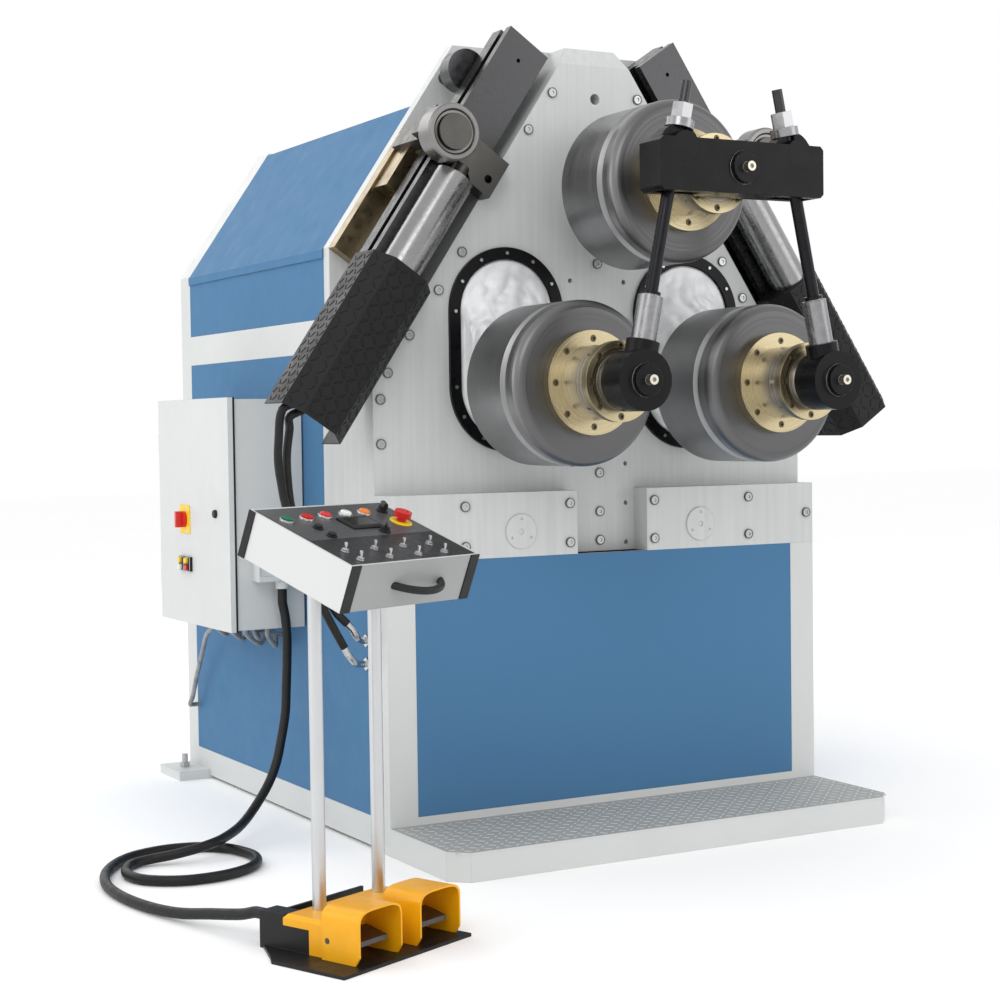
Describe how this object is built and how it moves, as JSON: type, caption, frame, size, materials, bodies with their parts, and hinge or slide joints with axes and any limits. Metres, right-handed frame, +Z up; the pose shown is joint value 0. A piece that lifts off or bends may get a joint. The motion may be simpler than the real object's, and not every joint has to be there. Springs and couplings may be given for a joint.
{
  "type": "angle roll bender",
  "caption": "Hydraulic three-roll section bending machine with inclined side guides, tie-rod yoke, cabinet, step, pedestal console and foot pedals.",
  "frame": {"origin": "on the floor in the centre plane, below the head's front face", "axes": "+X to the right along the front, +Y to the back, +Z up"},
  "size_m": [2.592, 2.6374, 2.3441],
  "materials": {
    "grey_paint": "fine-textured light grey enamel",
    "blue_paint": "satin medium blue enamel on sheet steel",
    "black_paint": "satin black",
    "roll_steel": "turned tool steel with fine concentric marks",
    "dark_steel": "blackened ground steel",
    "yellow_zinc": "yellow-passivated zinc plate",
    "bright_steel": "bright plated steel",
    "inner_steel": "painted castings and cylinders inside the housing",
    "silver_fabric": "aluminised dust cloth",
    "black_rubber": "smooth black hose cover",
    "grey_rubber": "grey cable sheath",
    "black_plastic": "matt black",
    "yellow_plastic": "gloss safety yellow",
    "red_plastic": "gloss red",
    "green_plastic": "gloss green",
    "fascia_film": "printed dark aluminium fascia without its legends",
    "pole_silver": "silver paint"
  },
  "bodies": {
    "frame": {"foot_plates": "grey_paint", "front_wall": "grey_paint", "side_walls": "grey_paint", "head_block": "grey_paint", "rear_plate": "grey_paint", "hood_panels": "blue_paint", "skin_panels": "blue_paint", "pivot_bars": "grey_paint", "frame_screws": "bright_steel", "window_rings": "black_paint", "left_boot": "silver_fabric", "right_boot": "silver_fabric", "step_platform": "grey_paint", "power_unit": "inner_steel", "crosshead": "black_paint", "guide_rails": "dark_steel", "guide_brackets": "yellow_zinc", "guide_covers": "black_paint", "guide_hoses": "black_rubber", "hose_fittings": "bright_steel", "cabinet_box": "grey_paint", "cabinet_cables": "grey_rubber", "console_housing": "grey_paint", "console_trim": "black_plastic", "console_fascia": "fascia_film", "console_controls": "black_plastic", "stand_poles": "pole_silver", "pedal_tray": "black_paint", "pedal_guards": "yellow_plastic", "conduit": "black_rubber"},
    "left_ram": {"left_carriage": "inner_steel"},
    "left_roll_set": {"left_shaft": "roll_steel", "left_roll": "roll_steel", "left_flanges": "yellow_zinc"},
    "left_tie": {"left_tie_eye": "black_paint", "left_tie_rod": "dark_steel"},
    "left_pivot": {"left_trunnion": "black_paint"},
    "left_guide": {"left_guide_carriage": "dark_steel", "left_guide_block": "yellow_zinc"},
    "left_guide_wheel": {"left_guide_roller": "roll_steel"},
    "right_ram": {"right_carriage": "inner_steel"},
    "right_roll_set": {"right_shaft": "roll_steel", "right_roll": "roll_steel", "right_flanges": "yellow_zinc"},
    "right_tie": {"right_tie_eye": "black_paint", "right_tie_rod": "dark_steel"},
    "right_pivot": {"right_trunnion": "black_paint"},
    "right_guide": {"right_guide_carriage": "dark_steel", "right_guide_block": "yellow_zinc"},
    "right_guide_wheel": {"right_guide_roller": "roll_steel"},
    "top_roll_set": {"top_shaft": "roll_steel", "top_roll": "roll_steel", "top_flanges": "yellow_zinc"},
    "door": {"cabinet_door": "grey_paint"},
    "switch_knob": {"main_switch": "red_plastic"},
    "left_treadle": {"left_pedal": "dark_steel"},
    "right_treadle": {"right_pedal": "dark_steel"},
    "estop": {"emergency_stop": "red_plastic"},
    "start_cap": {"start_button": "green_plastic"},
    "stop_cap": {"stop_button": "red_plastic"}
  },
  "joints": [
    {"name": "left_roll_slide", "type": "slide", "parent": "frame", "child": "left_ram", "axis": [0, 0, 1], "range_m": [0, 0.2], "deforming": ["left_boot"]},
    {"name": "left_roll_spin", "type": "hinge", "parent": "left_ram", "child": "left_roll_set", "pos_m": [-0.312, 0, 1.305], "axis": [0, -1, 0], "continuous": true},
    {"name": "left_tie_swing", "type": "hinge", "parent": "left_ram", "child": "left_tie", "pos_m": [-0.312, -0.685, 1.305], "axis": [0, 1, 0], "range_deg": [0, 5.5]},
    {"name": "left_trunnion_turn", "type": "hinge", "parent": "frame", "child": "left_pivot", "pos_m": [-0.183, -0.685, 1.908], "axis": [0, 1, 0], "range_deg": [0, 5.5]},
    {"name": "left_guide_slide", "type": "slide", "parent": "frame", "child": "left_guide", "axis": [0.5592, 0, 0.829], "range_m": [0, 0.165]},
    {"name": "left_guide_wheel_spin", "type": "hinge", "parent": "left_guide", "child": "left_guide_wheel", "pos_m": [-0.53653, -0.095, 2.00735], "axis": [0, -1, 0], "continuous": true},
    {"name": "right_roll_slide", "type": "slide", "parent": "frame", "child": "right_ram", "axis": [0, 0, 1], "range_m": [0, 0.2], "deforming": ["right_boot"]},
    {"name": "right_roll_spin", "type": "hinge", "parent": "right_ram", "child": "right_roll_set", "pos_m": [0.312, 0, 1.305], "axis": [0, -1, 0], "continuous": true},
    {"name": "right_tie_swing", "type": "hinge", "parent": "right_ram", "child": "right_tie", "pos_m": [0.312, -0.685, 1.305], "axis": [0, 1, 0], "range_deg": [-5.5, 0]},
    {"name": "right_trunnion_turn", "type": "hinge", "parent": "frame", "child": "right_pivot", "pos_m": [0.183, -0.685, 1.908], "axis": [0, 1, 0], "range_deg": [-5.5, 0]},
    {"name": "right_guide_slide", "type": "slide", "parent": "frame", "child": "right_guide", "axis": [-0.5592, 0, 0.829], "range_m": [0, 0.165]},
    {"name": "right_guide_wheel_spin", "type": "hinge", "parent": "right_guide", "child": "right_guide_wheel", "pos_m": [0.53653, -0.095, 2.00735], "axis": [0, -1, 0], "continuous": true},
    {"name": "top_roll_spin", "type": "hinge", "parent": "frame", "child": "top_roll_set", "pos_m": [0, 0, 1.862], "axis": [0, -1, 0], "continuous": true},
    {"name": "cabinet_door_hinge", "type": "hinge", "parent": "frame", "child": "door", "pos_m": [-0.972, 1.118, 0.93], "axis": [0, 0, -1], "range_deg": [0, 110]},
    {"name": "main_switch_turn", "type": "hinge", "parent": "door", "child": "switch_knob", "pos_m": [-0.99, 0.872, 0.915], "axis": [-1, 0, 0], "range_deg": [-90, 0]},
    {"name": "left_pedal_press", "type": "hinge", "parent": "frame", "child": "left_treadle", "pos_m": [-1.25333, -0.9214, 0.052], "axis": [0.9205, 0.3907, 0], "range_deg": [0, 10], "stiffness_Nm_per_rad": 20, "springref_deg": -8.59},
    {"name": "right_pedal_press", "type": "hinge", "parent": "frame", "child": "right_treadle", "pos_m": [-1.06279, -0.84052, 0.052], "axis": [0.9205, 0.3907, 0], "range_deg": [0, 10], "stiffness_Nm_per_rad": 20, "springref_deg": -8.59},
    {"name": "emergency_stop_press", "type": "slide", "parent": "frame", "child": "estop", "axis": [-0.14, 0.3299, -0.9336], "range_m": [0, 0.006], "stiffness_N_per_m": 600, "springref_m": -0.005},
    {"name": "start_button_press", "type": "slide", "parent": "frame", "child": "start_cap", "axis": [-0.14, 0.3299, -0.9336], "range_m": [0, 0.004], "stiffness_N_per_m": 400, "springref_m": -0.005},
    {"name": "stop_button_press", "type": "slide", "parent": "frame", "child": "stop_cap", "axis": [-0.14, 0.3299, -0.9336], "range_m": [0, 0.004], "stiffness_N_per_m": 400, "springref_m": -0.005}
  ],
  "couplings": [
    {"joint": "left_tie_swing", "follows": "left_roll_slide", "rad_per_m": 0.46251},
    {"joint": "left_trunnion_turn", "follows": "left_roll_slide", "rad_per_m": 0.46251},
    {"joint": "right_tie_swing", "follows": "right_roll_slide", "rad_per_m": -0.46251},
    {"joint": "right_trunnion_turn", "follows": "right_roll_slide", "rad_per_m": -0.46251},
    {"joint": "left_roll_spin", "follows": "top_roll_spin", "ratio": -1},
    {"joint": "right_roll_spin", "follows": "top_roll_spin", "ratio": -1}
  ]
}
